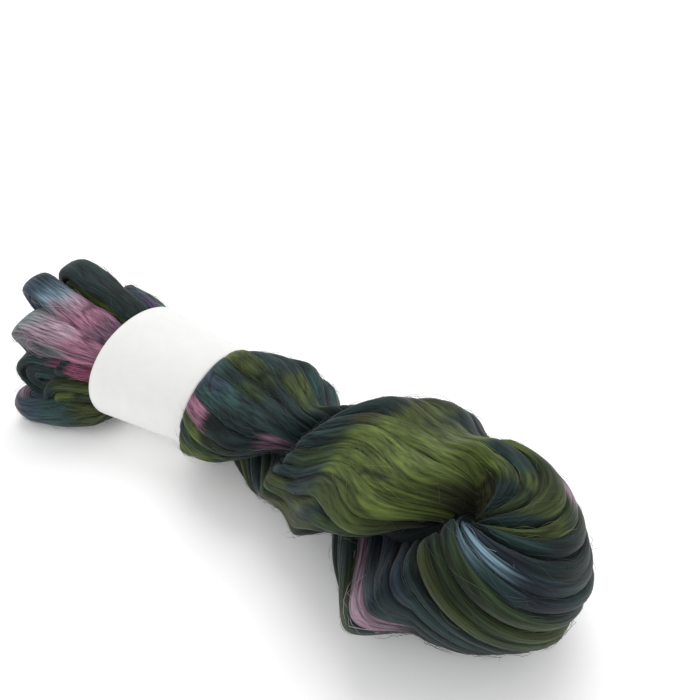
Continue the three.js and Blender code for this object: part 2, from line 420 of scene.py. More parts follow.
@dataclass(frozen=True)
class Skin:
    """Surface of a strand of combed fibre: fine ridges along it, and dyes that meet in streaks."""

    ridges: tuple[Wave, Wave]
    streaks: Wave
    shade: Wave
    girth: float
    blur: float

    def lay(self, draft: Draft, points: np.ndarray, turn: np.ndarray, ahead: np.ndarray, stops: Stops,
            total: float, seed: int, number: float, crease_shade: np.ndarray) -> Surface:
        """Lays the skin on a strand's grid and adds it to a draft.

        A grid that is inside out is turned round first. Points move along their normals by the sum of the
        ridges. The dyes are read at the place along the strand, put out of step by the streaks, then
        made lighter or darker by the shade, and darker by the painted crease shade of each column.

        Args:
            draft: takes the mesh.
            points: the strand, rows along and columns around.
            turn: place around of each column, in turns.
            ahead: place along of each row, millimetres, as a column.
            stops: the dyes.
            total: length of the stops' unit, millimetres.
            seed: of the first ridges.
            number: sets the strand's place in the fibres' pattern.
            crease_shade: painted shade in the creases, a factor for each column.

        Returns:
            The finished surface.
        """
        normals, ring = grid_normals(points), len(points) // 4
        if np.sum(normals[ring] * (points[ring] - points[ring].mean(0))) < 0:
            points, normals = points[:, ::-1], -normals[:, ::-1]
            turn, crease_shade = turn[::-1], crease_shade[::-1]
        turn = turn[None]
        height = sum(wave.field(turn, ahead, seed + k) for k, wave in enumerate(self.ridges))
        points = points + normals * height[..., None]
        place = (ahead + self.streaks.field(turn, ahead, seed + 2)) / total
        shade = 1 + self.shade.field(turn, ahead, seed + 3)
        # Painted shade: the crease factor darkens the colour of each column
        colours = dyed(stops, place, self.blur) * shade[..., None] * crease_shade[None, :, None]
        fibres = np.stack(np.broadcast_arrays(self.girth * turn, ahead, number), -1)
        draft.add_tube(points, colours, fibres)
        return Surface(points, normals, unit(np.gradient(points, axis=0)), colours)


class RopeRow(NamedTuple):
    """One station of the rope. Turn and rolls are in half turns, the rest in millimetres."""

    x: float
    turn: float
    roll_out: float
    roll_back: float
    half_width: float
    half_height: float
    sway: float
    lift: float


class Strand(NamedTuple):
    """One strand of the rope: its angle in the ply, its width, how proud it lies, its dyes by station.

    Stations run out along the first ply from 2 to 238, round the fold to 338 and back to 574.
    """

    angle: float
    width: float
    proud: float
    dyes: Stops


@dataclass
class Rope:
    """The twisted rope: one bundle of strands, out as the first ply, folded, and back as the second.

    Ply sizes are shares of the rope's section; fold reach and length are millimetres, its roll half
    turns. A strand's half width is in degrees about the ply's centre, its height and depth in shares of
    the ply's radius.
    """

    rows: tuple[RopeRow, ...] = (
        RopeRow(2, 0.06, 0.0, 0.0, 31, 28, 1, 41),
        RopeRow(33, 0.15, 0.1, 0.1, 41, 35, 5, 37),
        RopeRow(64, 0.25, 0.38, 0.38, 49, 41, 9, 40),
        RopeRow(92, 0.37, 0.6, 0.6, 48, 41, 9, 40),
        RopeRow(114, 0.54, 0.86, 0.86, 40, 37, 4, 41),
        RopeRow(132, 0.8, 1.2, 1.2, 35, 33, -6, 42),
        RopeRow(150, 1.1, 1.66, 1.66, 40, 39, -4, 45),
        RopeRow(174, 1.37, 1.93, 1.93, 54, 46, 1, 47),
        RopeRow(206, 1.57, 2.21, 2.21, 64, 50, -3, 45),
        RopeRow(222, 1.74, 2.46, 2.47, 62, 51, -6, 44),
        RopeRow(238, 1.92, 3.0, 2.76, 55.5, 48, -1.5, 46.5),
    )
    ply_centre: float = 0.5
    ply_depth: float = 0.485
    ply_breadth: float = 0.9
    squareness: float = 2.15
    evenness: float = 0.6
    fold_reach: float = 62.0
    fold_roll: float = 0.972
    fold_length: float = 100.0
    out_steps: int = 150
    fold_steps: int = 64
    around: int = 36
    strand_half: float = 12.4
    strand_height: float = 0.7
    strand_depth: float = 0.275
    crowding: float = 0.06
    fullness: tuple[float, float] = (0.8, 0.72)
    # Painted shade: share of the colour left at the bottom of a crease between strands
    painted_crease_shade: float = 0.5
    wander: Wave = Wave(4.0, 40)
    spread: Wave = Wave(0.28, 34)
    rise: Wave = Wave(0.045, 27)
    skin: Skin = Skin((Wave(0.5, 35, 9), Wave(0.34, 22, 18)), streaks=Wave(7, 60, 11),
                      shade=Wave(0.22, 25, 9), girth=34.0, blur=5.0)
    hidden_rows: int = 8
    seen: float = 0.2
    heart_share: float = 0.66
    core_half: tuple[float, float] = (0.25, 0.42)
    waist_reach: float = 0.9
    waist_inset: float = 2.5
    strands: tuple[Strand, ...] = (
        Strand(10, 1.0, 0.0, (GREEN, 40, OLIVE, 84, SPRUCE, 118, MAUVE, 132, SPRUCE, 190, MOSS,
            226, SPRUCE, 248, SLATE, 266, NAVY, 278, SPRUCE, 400, OLIVE, 450, GREEN, 520, SPRUCE)),
        Strand(30, 1.0, 0.01, (MOSS, 52, OLIVE, 88, GREEN, 128, SPRUCE, 186, OLIVE, 214, SPRUCE,
            245, SLATE, 251, MIST, 268, NAVY, 280, SPRUCE, 410, MOSS, 470, SPRUCE)),
        Strand(50, 0.9, 0.015, (SPRUCE, 60, SLATE, 96, TEAL, 150, SPRUCE, 243, MIST, 252, TEAL,
            262, NAVY, 280, SPRUCE, 430, SLATE, 480, SPRUCE, 530, MOSS)),
        Strand(70, 1.05, 0.0, (PINK, 44, PLUM, 70, SPRUCE, 160, SLATE, 196, NAVY, 220, SPRUCE,
            245, GREEN, 276, SPRUCE, 450, MOSS, 520, OLIVE)),
        Strand(90, 1.0, -0.01, (PLUM, 36, SPRUCE, 104, GREEN, 150, SPRUCE, 232, GREEN, 258,
            MOSS, 284, SPRUCE, 426, MOSS, 446, SPRUCE, 500, OLIVE)),
        Strand(110, 0.85, 0.015, (SPRUCE, 100, MOSS, 134, SPRUCE, 220, GREEN, 233, MOSS, 252, GREEN,
            280, SPRUCE, 424, MOSS, 446, LILAC, 460, SPRUCE, 520, MOSS)),
        Strand(130, 1.15, 0.0, (SPRUCE, 108, TEAL, 134, SPRUCE, 400, MOSS, 440, GREEN, 476, SPRUCE,
            520, SLATE)),
        Strand(150, 1.0, -0.01, (SPRUCE, 200, NAVY, 232, SPRUCE, 370, GREEN, 396, SPRUCE, 406, MOSS,
            428, GREEN, 456, SPRUCE, 530, PINK)),
        Strand(170, 0.95, 0.01, (SPRUCE, 104, TEAL, 128, SPRUCE, 200, NAVY, 230, SPRUCE, 346, MOSS,
            396, GREEN, 404, SPRUCE, 424, MOSS, 448, SPRUCE, 520, PLUM)),
        Strand(190, 0.9, 0.015, (SPRUCE, 104, MOSS, 122, GREEN, 138, SPRUCE, 200, NAVY, 229, SPRUCE,
            336, MOSS, 346, OLIVE, 412, SPRUCE, 490, MOSS)),
        Strand(210, 1.0, 0.0, (SPRUCE, 60, TEAL, 94, MOSS, 118, GREEN, 128, SPRUCE, 184, LILAC,
            230, NAVY, 236, SPRUCE, 330, BARK, 346, OLIVE, 404, GREEN, 426, SPRUCE, 480, OLIVE)),
        Strand(230, 1.1, 0.01, (MOSS, 48, OLIVE, 58, MOSS, 78, GREEN, 98, SPRUCE, 192, GREEN,
            214, SPRUCE, 292, BARK, 342, OLIVE, 404, GREEN, 412, SPRUCE, 480, GREEN)),
        Strand(250, 1.15, 0.0, (TEAL, 64, SPRUCE, 80, GREEN, 98, SPRUCE, 180, GREEN, 200, SPRUCE,
            290, BARK, 338, OLIVE, 396, BARK, 408, SPRUCE)),
        Strand(270, 1.2, 0.01, (TEAL, 48, SLATE, 76, TEAL, 92, SPRUCE, 280, BARK, 300, SPRUCE,
            324, MOSS, 333, OLIVE, 398, SPRUCE, 480, SLATE)),
        Strand(290, 1.1, -0.01, (SLATE, 62, TEAL, 82, SPRUCE, 116, MAUVE, 128, SPRUCE, 276, GREEN,
            306, MOSS, 316, SPRUCE, 341, OLIVE, 363, GREEN, 372, OLIVE, 397, LILAC, 404, SPRUCE,
            490, TEAL)),
        Strand(310, 1.15, 0.02, (PINK, 76, SPRUCE, 116, MAUVE, 127, SPRUCE, 294, MOSS, 318, GREEN,
            328, OLIVE, 350, SPRUCE, 374, MOSS, 394, TEAL, 404, SPRUCE, 470, MOSS)),
        Strand(330, 0.95, 0.0, (MOSS, 56, OLIVE, 72, GREEN, 98, SPRUCE, 210, GREEN, 240, SPRUCE,
            266, GREEN, 275, OLIVE, 296, GREEN, 308, LILAC, 315, GREEN, 345, SPRUCE, 420, MAUVE,
            440, SPRUCE)),
        Strand(350, 1.05, 0.0, (SPRUCE, 60, GREEN, 94, SPRUCE, 200, OLIVE, 228, GREEN, 266, TEAL,
            284, SPRUCE, 297, GREEN, 308, SPRUCE, 380, OLIVE, 440, SPRUCE)),
    )
    surfaces: list[Surface] = field(default_factory=list)

    def column(self, name: str, x: np.ndarray) -> np.ndarray:
        """A column of the rows, read at x."""
        table = np.array(self.rows, float)
        return through(table[:, 0], table[:, RopeRow._fields.index(name)], x)

    def point(self, x: np.ndarray, fold: np.ndarray, radial: np.ndarray,
              tangential: np.ndarray) -> np.ndarray:
        """Point of the rope from a place in a ply's section.

        The section turns by the winding angle. In the fold its radial axis swings through +X, by the
        cosine and sine of the fold angle.

        Args:
            x: station.
            fold: 0 in the first ply, pi in the second.
            radial: away from the rope's middle, 1 at its outside.
            tangential: across the ply.

        Returns:
            Points, the last axis x, y, z.
        """
        angle = math.pi * (1 - self.column("turn", x))
        c, s = np.cos(angle), np.sin(angle)
        out = radial * np.cos(fold)
        px = x + self.fold_reach * radial * np.sin(fold)
        py = self.column("sway", x) + self.column("half_width", x) * (out * c - tangential * s)
        pz = self.column("lift", x) + self.column("half_height", x) * (out * s + tangential * c)
        return np.stack([px, py, pz], -1)

    def path(self) -> tuple[np.ndarray, np.ndarray, np.ndarray, np.ndarray]:
        """Stations of the bundle's path.

        Returns:
            The station x, the fold angle, the roll in half turns, and the running place in millimetres.
        """
        start, end = self.rows[0].x, self.rows[-1].x
        out = np.linspace(start, end, self.out_steps)
        part = np.linspace(0, 1, self.fold_steps + 2)[1:-1]
        x = np.concatenate([out, np.full(self.fold_steps, end), out[::-1]])
        fold = np.concatenate([np.zeros_like(out), math.pi * part, np.full_like(out, math.pi)])
        turned = self.rows[-1].roll_out
        folded = turned + self.fold_roll * np.sin(0.5 * math.pi * part)
        back = turned + self.fold_roll + self.rows[-1].roll_back - self.column("roll_back", out[::-1])
        roll = np.concatenate([self.column("roll_out", out), folded, back])
        place = np.concatenate([out, end + self.fold_length * part,
                                end + self.fold_length + end - out[::-1]])
        return x, fold, roll, place

    def section(self, angle: np.ndarray) -> np.ndarray:
        """Edge of the ply's section, a superellipse, at an angle about its centre.

        Evenness turns the angle towards the section's long axis, so that strands get about as much room
        on its narrow side as on its wide side.

        Args:
            angle: radians.

        Returns:
            Radial and tangential places of the edge, the last axis of 2.
        """
        n, power = self.squareness, self.evenness
        heading = unit(np.stack([np.cos(angle) * self.ply_depth**power,
                                 np.sin(angle) * self.ply_breadth**power], -1))
        share = np.abs(heading) / np.array([self.ply_depth, self.ply_breadth])
        return heading * np.sum(share**n, -1, keepdims=True) ** (-1 / n)

    def strand(self, index: int) -> Draft:
        """One strand, a flattened tube that lies on the ply's heart beside its neighbours.

        Around the tube runs a rounded oval: its width is an angle about the ply's centre, and its
        thickness a share of the ply's radius. Place, width and height change slowly along it, and its
        colour is painted darker towards the oval's edges, as shade down in the creases between strands.
        """
        row, seed = self.strands[index], ROPE_SEED + 10 * index
        x, fold, roll, place = self.path()
        turn = np.linspace(0.5, -0.5, self.around, endpoint=False)
        psi = 2 * math.pi * (turn + self.crowding * np.sin(4 * math.pi * turn)) + 0.5 * math.pi
        ahead, still = place[:, None], np.zeros((1, 1))
        wander = self.wander.field(still, ahead, seed)
        half = self.strand_half * row.width * (1 + self.spread.field(still, ahead, seed + 1))
        height = self.strand_height + row.proud + self.rise.field(still, ahead, seed + 2)
        oval_a, oval_r = blunt(np.cos(psi), self.fullness[0]), blunt(np.sin(psi), self.fullness[1])
        angle = np.radians(row.angle + HALF_TURN * roll[:, None] + wander + half * oval_a[None])
        edge = self.section(angle) * (height + self.strand_depth * oval_r[None])[..., None]
        points = self.point(x[:, None], fold[:, None], self.ply_centre + edge[..., 0], edge[..., 1])
        points = rest_on_floor(BAND.squeeze(points))
        # Painted shade: the colour falls towards the oval's edges, down in the creases between strands
        crease_shade = self.painted_crease_shade + (1 - self.painted_crease_shade) * smooth((oval_r + 0.1) / 0.9)
        draft = Draft(f"strand_{index + 1:02d}")
        surface = self.skin.lay(draft, points, turn, ahead, row.dyes, 1.0, seed + 3, float(index), crease_shade)
        self.surfaces.append(surface.part(self.hidden_rows, np.abs(turn) < self.seen))
        return draft

    def heart(self) -> Draft:
        """Inside of the rope, its colour painted dark as shade: the bundle's path at a smaller size, its
        core and its waist.
        """
        x, fold, roll, _ = (column[::3] for column in self.path())
        turn = np.linspace(0, 1, 20, endpoint=False)
        angle = 2 * math.pi * turn[None] + math.pi * roll[:, None]
        inner = self.heart_share * self.section(angle)
        points = self.point(x[:, None], fold[:, None], self.ply_centre + inner[..., 0], inner[..., 1])
        draft = Draft("heart")
        # Painted shade: the inside cotton is coloured half as bright as spruce, for the shade deep in the
        # rope
        dark, number = linear(SPRUCE.value) * 0.5, 90.0
        for grid in (rest_on_floor(BAND.squeeze(points)), self.core(), self.waist()):
            rows, columns = grid.shape[:2]
            around, ahead = np.arange(columns) * 1.5, np.arange(rows)[:, None] * 4.0
            fibres = np.stack(np.broadcast_arrays(around, ahead, number), -1)
            draft.add_tube(grid, np.broadcast_to(dark, grid.shape), fibres)
        return draft

    def core(self) -> np.ndarray:
        """Flat twisted tube between the two plies: an ellipse in the section's own axes."""
        x = np.linspace(self.rows[0].x + 1, self.rows[-1].x + 3, 60)[:, None]
        angle = np.linspace(0, 2 * math.pi, 12, endpoint=False)[None]
        deep, broad = self.core_half
        grid = self.point(x, np.zeros_like(x), deep * np.cos(angle), broad * np.sin(angle))
        grid[..., 0] = x
        return grid

    def waist(self) -> np.ndarray:
        """Plug of cotton inside the band, a little short of its rims."""
        place = np.linspace(-self.waist_reach, self.waist_reach, 7)[:, None]
        angle = np.linspace(0, 2 * math.pi, 48, endpoint=False)[None]
        return BAND.point(place, angle, self.waist_inset)


class Winding(NamedTuple):
    """One strand of a loop: its lane from the loop's middle, its half width, and its dyes.

    Lane and half width are shares of the loop's half width. The dyes' places run from 0 in the band, by
    0.5 at the tip, to 1 in the band again.
    """

    lane: float
    half: float
    dyes: Stops


class Loop(NamedTuple):
    """One loop at the open end: its root in the band's mouth, its tip, its size and its lean."""

    name: str
    root: tuple[float, float]
    tip: tuple[float, float, float]
    half: float
    thick: float
    lean: float
    windings: tuple[Winding, ...]


@dataclass
class Loops:
    """The open loops that stand out of the band at -X, each a few strands folded back on themselves.

    Station: where a loop starts inside the band; gather: how far it has drawn towards the band's middle
    there; neck and widest: its share of the full width at the start, and where along it that is full.
    """

    station: float = -8.0
    gather: float = 0.3
    neck: float = 0.6
    widest: float = 0.7
    steps: int = 120
    around: int = 36
    fullness: float = 0.86
    tip_room: float = 1.02
    spread: Wave = Wave(0.2, 28)
    plumpness: float = 0.9
    swell: Wave = Wave(0.16, 22)
    skin: Skin = Skin((Wave(1.0, 45, 6), Wave(0.5, 24, 13)), streaks=Wave(5, 60, 11),
                      shade=Wave(0.15, 25, 9), girth=40.0, blur=0.035)
    hidden_rows: int = 20
    loops: tuple[Loop, ...] = (
        Loop("top", (-22, 68), (-127, -26, 90), 16, 14, 20, (
            Winding(0.74, 0.28, (PLUM, 0.25, SLATE, 0.44, NAVY, 0.49, SLATE, 0.6, MIST, 0.64, LILAC,
                0.69, PINK, 0.78, MAUVE)),
            Winding(0.3, 0.34, (MAUVE, 0.25, SLATE, 0.58, MIST, 0.64, PEARL, 0.7, LILAC,
                0.8, MAUVE)))),
        Loop("fan", (-32, 58), (-115, -48, 64), 22, 15, 15, (
            Winding(0.78, 0.24, (RASPBERRY, 0.2, PINK, 0.42, PEARL, 0.62, LILAC, 0.74, PINK,
                0.86, MAUVE)),
            Winding(0.46, 0.26, (RASPBERRY, 0.2, PINK, 0.44, LILAC, 0.54, PEARL, 0.7, PINK,
                0.86, MAUVE)),
            Winding(0.2, 0.2, (RASPBERRY, 0.3, LILAC, 0.5, PEARL, 0.62, PINK, 0.82, RASPBERRY)))),
        Loop("back_top", (0, 76), (-122, 0, 88), 20, 12, 5, (
            Winding(0.78, 0.26, (SPRUCE, 0.2, GREEN, 0.4, SPRUCE)),
            Winding(0.32, 0.36, (OLIVE, 0.42, SPRUCE, 0.5, MOSS, 0.56, OLIVE, 0.86, MOSS)))),
        Loop("small", (-40, 48), (-74, -46, 46), 10, 9, 30, (
            Winding(0.5, 0.52, (SPRUCE, 0.3, RASPBERRY, 0.46, SPRUCE, 0.62, RASPBERRY, 0.8, PINK)),)),
        Loop("middle", (-28, 38), (-115, -56, 36), 20, 14, 0, (
            Winding(0.76, 0.26, (SPRUCE, 0.3, TEAL, 0.42, SPRUCE, 0.58, TEAL, 0.66, RASPBERRY)),
            Winding(0.4, 0.3, (SPRUCE, 0.3, TEAL, 0.42, SPRUCE, 0.58, NAVY)),
            Winding(0.14, 0.16, (SPRUCE, 0.5, TEAL, 0.7, SPRUCE)))),
        Loop("near_low", (-38, 28), (-83, -54, 24), 18, 14, 0, (
            Winding(0.7, 0.32, (MOSS, 0.3, GREEN, 0.5, SPRUCE, 0.62, MOSS, 0.78, OLIVE)),
            Winding(0.26, 0.3, (MOSS, 0.4, OLIVE, 0.6, GREEN)))),
        Loop("bottom", (-30, 16), (-112, -68, 12), 20, 12, 85, (
            Winding(0.72, 0.3, (SPRUCE, 0.3, SLATE, 0.42, LILAC, 0.54, SLATE, 0.62, TEAL, 0.72, MOSS)),
            Winding(0.28, 0.3, (SPRUCE, 0.3, MAUVE, 0.5, SLATE, 0.7, NAVY)))),
        Loop("back_high", (26, 58), (-106, 34, 58), 21, 15, 40, (
            Winding(0.72, 0.3, (GREEN, 0.3, OLIVE, 0.5, SPRUCE, 0.6, SLATE, 0.7, PLUM)),
            Winding(0.3, 0.3, (SPRUCE, 0.4, SLATE, 0.6, MIST, 0.8, SPRUCE)))),
        Loop("back_low", (22, 24), (-116, 30, 16), 23, 15, 75, (
            Winding(0.72, 0.3, (SPRUCE, 0.3, GREEN, 0.5, OLIVE, 0.75, MAUVE)),
            Winding(0.3, 0.3, (TEAL, 0.5, SPRUCE)))),
        Loop("heart", (0, 44), (-121, -12, 44), 25, 18, 20, (
            Winding(0.72, 0.3, (SPRUCE, 0.3, NAVY, 0.6, SPRUCE)),
            Winding(0.3, 0.3, (SPRUCE, 0.4, GREEN, 0.7, SPRUCE)))),
    )
    surfaces: list[Surface] = field(default_factory=list)

    def spine(self, loop: Loop, part: np.ndarray) -> tuple[np.ndarray, np.ndarray, np.ndarray]:
        """Middle line of a loop and its two side directions.

        A quadratic curve from a start inside the band, drawn by the root at the rim, to the tip. The
        legs' direction is upright, leaned about the line; the face is square to both.

        Args:
            loop: the loop.
            part: along the curve, 0 to 1 at the tip, and a little past it.

        Returns:
            Points, the legs' direction and the face's direction, each with a last axis of 3.
        """
        rim = BAND.point(np.array(-1.0), np.array(0.0), np.array(0.0))
        middle = BAND.point(np.array(0.0), np.array(0.0), np.array(0.0))
        root = np.array([rim[0], *loop.root])
        start = root + (np.array([0, 0, middle[2]]) - root) * self.gather
        start[0] = self.station
        tip, t = np.array(loop.tip, float), part[..., None]
        points = start * (1 - t) ** 2 + root * 2 * t * (1 - t) + tip * t * t
        ahead = unit((root - start) * (1 - t) + (tip - root) * t)
        level = unit(np.stack([-ahead[..., 1], ahead[..., 0], 0 * ahead[..., 0]], -1))
        up = np.cross(ahead, level)
        lean = math.radians(loop.lean)
        legs = up * math.cos(lean) + level * math.sin(lean)
        return points, legs, np.cross(ahead, legs)

    def winding(self, loop: Loop, index: int, seed: int, draft: Draft) -> None:
        """One strand of a loop, out along one leg, round the tip and back along the other.

        In the loop's own plane the middle line is two straight legs and a half circle. A flattened oval
        is carried along it, wide in the plane and thick across it.

        Args:
            loop: the loop.
            index: of the winding in it.
            seed: of its random values.
            draft: takes the mesh.
        """
        row = loop.windings[index]
        ends = self.spine(loop, np.linspace(0, 1, 60))[0]
        length = float(np.linalg.norm(np.diff(ends, axis=0), axis=1).sum())
        straight, radius = length - loop.half * self.tip_room, row.lane * loop.half
        total = 2 * straight + math.pi * radius
        run = np.linspace(0, total, self.steps)
        bend = np.clip((run - straight) / radius, 0, math.pi)
        leg = np.where(run < straight, run, np.where(bend < math.pi, straight, total - run))
        reach, side = leg + radius * np.sin(bend), -radius * np.cos(bend)
        along = unit(np.gradient(np.stack([reach, side], -1), axis=0))
        turn = np.linspace(-0.5, 0.5, self.around, endpoint=False)
        oval_w = blunt(np.sin(2 * math.pi * turn), self.fullness)
        oval_t = blunt(np.cos(2 * math.pi * turn), self.fullness)
        ahead, still = run[:, None], np.zeros((1, 1))
        wide = row.half * loop.half * (1 + self.spread.field(still, ahead, seed))
        thick = loop.thick * (self.plumpness + self.swell.field(still, ahead, seed + 1))
        offset = wide * oval_w[None]
        part = (reach[:, None] - offset * along[:, 1:]) / length
        points, legs, face = self.spine(loop, part)
        grown = self.neck + (1 - self.neck) * smooth(part / self.widest)
        points = points + legs * ((side[:, None] + offset * along[:, :1]) * grown)[..., None]
        points = points + face * (thick * oval_t[None] * grown)[..., None]
        points = rest_on_floor(BAND.squeeze(points))
        surface = self.skin.lay(draft, points, turn, ahead, row.dyes, total, seed + 2, float(seed),
                                np.ones(self.around))
        self.surfaces.append(surface.part(self.hidden_rows, slice(None)))

    def loop(self, index: int) -> Draft:
        """One loop with all its windings."""
        loop = self.loops[index]
        draft = Draft(f"loop_{loop.name}")
        for k in range(len(loop.windings)):
            self.winding(loop, k, LOOP_SEED + 40 * index + 12 * k, draft)
        return draft


@dataclass
class PaperStrip:
    """The plain paper band: a strip wrapped once round the hank, its end lapped over its start.

    The lap's start and length are radians. The waves' lengths are in half widths of the strip.
    """

    thickness: float = 0.3
    inset: float = 0.55
    lap: float = 0.35
    lap_start: float = -0.7
    lap_rise: tuple[float, float] = (0.93, 0.05)
    lap_height: float = 1.15
    sag: Wave = Wave(0.175, 0.4, 9)
    cockle: Wave = Wave(0.056, 1 / 6, 23)
    edge_wave: float = 0.004
    girth: float = 263.0
    along: int = 40
    around: int = 220

    def strip(self) -> Draft:
        """The strip: a thin section, carried round the band's cone by a little more than a turn.

        The section runs along the outside from rim to rim and back along the inside. The last part of
        the strip lies one thickness outside the first. Slow waves move the paper in and out.
        """
        angle = self.lap_start + np.linspace(0, 2 * math.pi + self.lap, self.around)[:, None]
        run = np.linspace(-1, 1, self.along)
        place = np.concatenate([run, run[::-1]])[None]
        inner = np.concatenate([np.zeros(self.along), np.full(self.along, self.thickness)])[None]
        ahead = (angle - self.lap_start) / (2 * math.pi)
        start, length = self.lap_rise
        lapped = smooth((ahead - start) / length) * self.lap_height * self.thickness
        wave = self.sag.field(ahead, place + 1, PAPER_SEED)
        wave = wave + self.cockle.field(ahead, place + 1, PAPER_SEED + 1)
        edge = place * (1 + self.edge_wave * np.sin(3 * angle))
        points = BAND.point(edge, angle, self.inset + inner - lapped - wave)
        fibres = np.stack(np.broadcast_arrays(place * BAND.width / 2, ahead * self.girth, 0.0), -1)
        white = np.broadcast_to(linear("#f4f4f2"), points.shape)
        draft = Draft("paper_strip")
        draft.add_tube(points[:, ::-1], white, fibres[:, ::-1])
        return draft


@dataclass
class StrayFibres:
    """Loose cotton fibres that stand a little off the strands, joined into one mesh.

    Lengths and rises are millimetres. Aside and sway are the spread of a fibre's turn and of its bend.
    """

    count: int = 7000
    steps: int = 5
    sides: int = 3
    radius: float = 0.12
    length: tuple[float, float] = (6, 26)
    highest: float = 3.0
    flattest: float = 0.35
    aside: float = 0.25
    sway: float = 0.08
    root: float = 0.25
    clear: float = 0.2
    off_band: float = 6.0
    # Painted sheen: a loose fibre's colour is its strand's times so much, plus a small lift
    shade: tuple[float, float] = (1.4, 3.0)
    painted_sheen_lift: float = 0.03

    def fibres(self, surfaces: list[Surface]) -> Draft:
        """Thin bent tubes that leave the surface and come back towards it.

        Each follows the strand's direction, turned a little aside, rises by a half sine of its length
        and sways by a second one.

        Args:
            surfaces: what they grow from.

        Returns:
            The piece's draft.
        """
        rng, each = np.random.default_rng(FIBRE_SEED), (self.count, 1, 1)
        grids = [np.concatenate([grid.reshape(-1, 3) for grid in column]) for column in zip(*surfaces)]
        free = np.flatnonzero(BAND.past_rims(grids[0]) > self.off_band)
        pick = free[rng.integers(0, len(free), self.count)]
        p, n, a, c = (grid[pick] for grid in grids)
        length = rng.uniform(*self.length, each)
        rise = rng.uniform(self.flattest, 1.0, each) ** 3 * self.highest
        aside = rng.normal(0, self.aside, each)
        sway = rng.normal(0, self.sway, each) * length
        t = np.linspace(0, 1, self.steps)[None, :, None]
        side = np.cross(n, a)
        line = p[:, None] + (a[:, None] + aside * side[:, None]) * length * (t - 0.5)
        line = line + n[:, None] * (rise * np.sin(math.pi * t) - self.root)
        line = line + side[:, None] * sway * np.sin(2 * math.pi * t)
        line[..., 2] = np.maximum(line[..., 2], self.clear)
        turn = np.linspace(0, 2 * math.pi, self.sides, endpoint=False)[None, None, :, None]
        ring = n[:, None, None] * np.cos(turn) + side[:, None, None] * np.sin(turn)
        thin = self.radius * np.sin(math.pi * (0.08 + 0.84 * t))[..., None]
        grid = line[:, :, None] + ring * thin
        d = np.arange(grid[..., 0].size).reshape(grid.shape[:3])
        b = np.roll(d, -1, axis=2)
        quads = np.stack([d[:, :-1], d[:, 1:], b[:, 1:], b[:, :-1]], -1).reshape(-1, 4)
        # Painted sheen: loose fibres are coloured paler than their strand, for the light they catch
        shade = np.clip(c * rng.uniform(*self.shade, (self.count, 1)) + self.painted_sheen_lift, 0, 1)
        draft = Draft("stray_fibres")
        draft.add(grid, quads, np.broadcast_to(shade[:, None, None], grid.shape), 0 * grid)
        draft.faces += [d[:, 0], d[:, -1, ::-1]]
        return draft


def add_node(tree: bpy.types.NodeTree, kind: str, settings: dict, links: dict) -> bpy.types.Node:
    """Adds a node to a tree and returns it.

    Args:
        tree: the material's tree.
        kind: the node's type.
        settings: attributes of the node.
        links: input name or number to a socket to link, or to a value to set.
    """
    node = tree.nodes.new(kind)
    for key, value in settings.items():
        setattr(node, key, value)
    for key, value in links.items():
        if isinstance(value, bpy.types.NodeSocket):
            tree.links.new(value, node.inputs[key])
        else:
            node.inputs[key].default_value = value
    return node


def new_material(name: str, settings: dict) -> tuple[bpy.types.Material, bpy.types.Node]:
    """A material of one shader, with the settings on the shader's own sockets.

    Args:
        name: of the material.
        settings: socket name to value.

    Returns:
        The material and its shader.
    """
    made = bpy.data.materials.new(name)
    made.use_nodes = True
    shader = made.node_tree.nodes["Principled BSDF"]
    for key, value in settings.items():
        shader.inputs[key].default_value = value
    return made, shader


class Pattern(NamedTuple):
    """Noise stretched along the fibres, and the two shades between which it changes the dye.

    Width and length are millimetres. Layer keeps strands apart in the noise. The value goes from dark
    at low to bright at high.
    """

    width: float
    length: float
    layer: float
    detail: float
    roughness: float
    low: float
    high: float
    dark: float
    bright: float


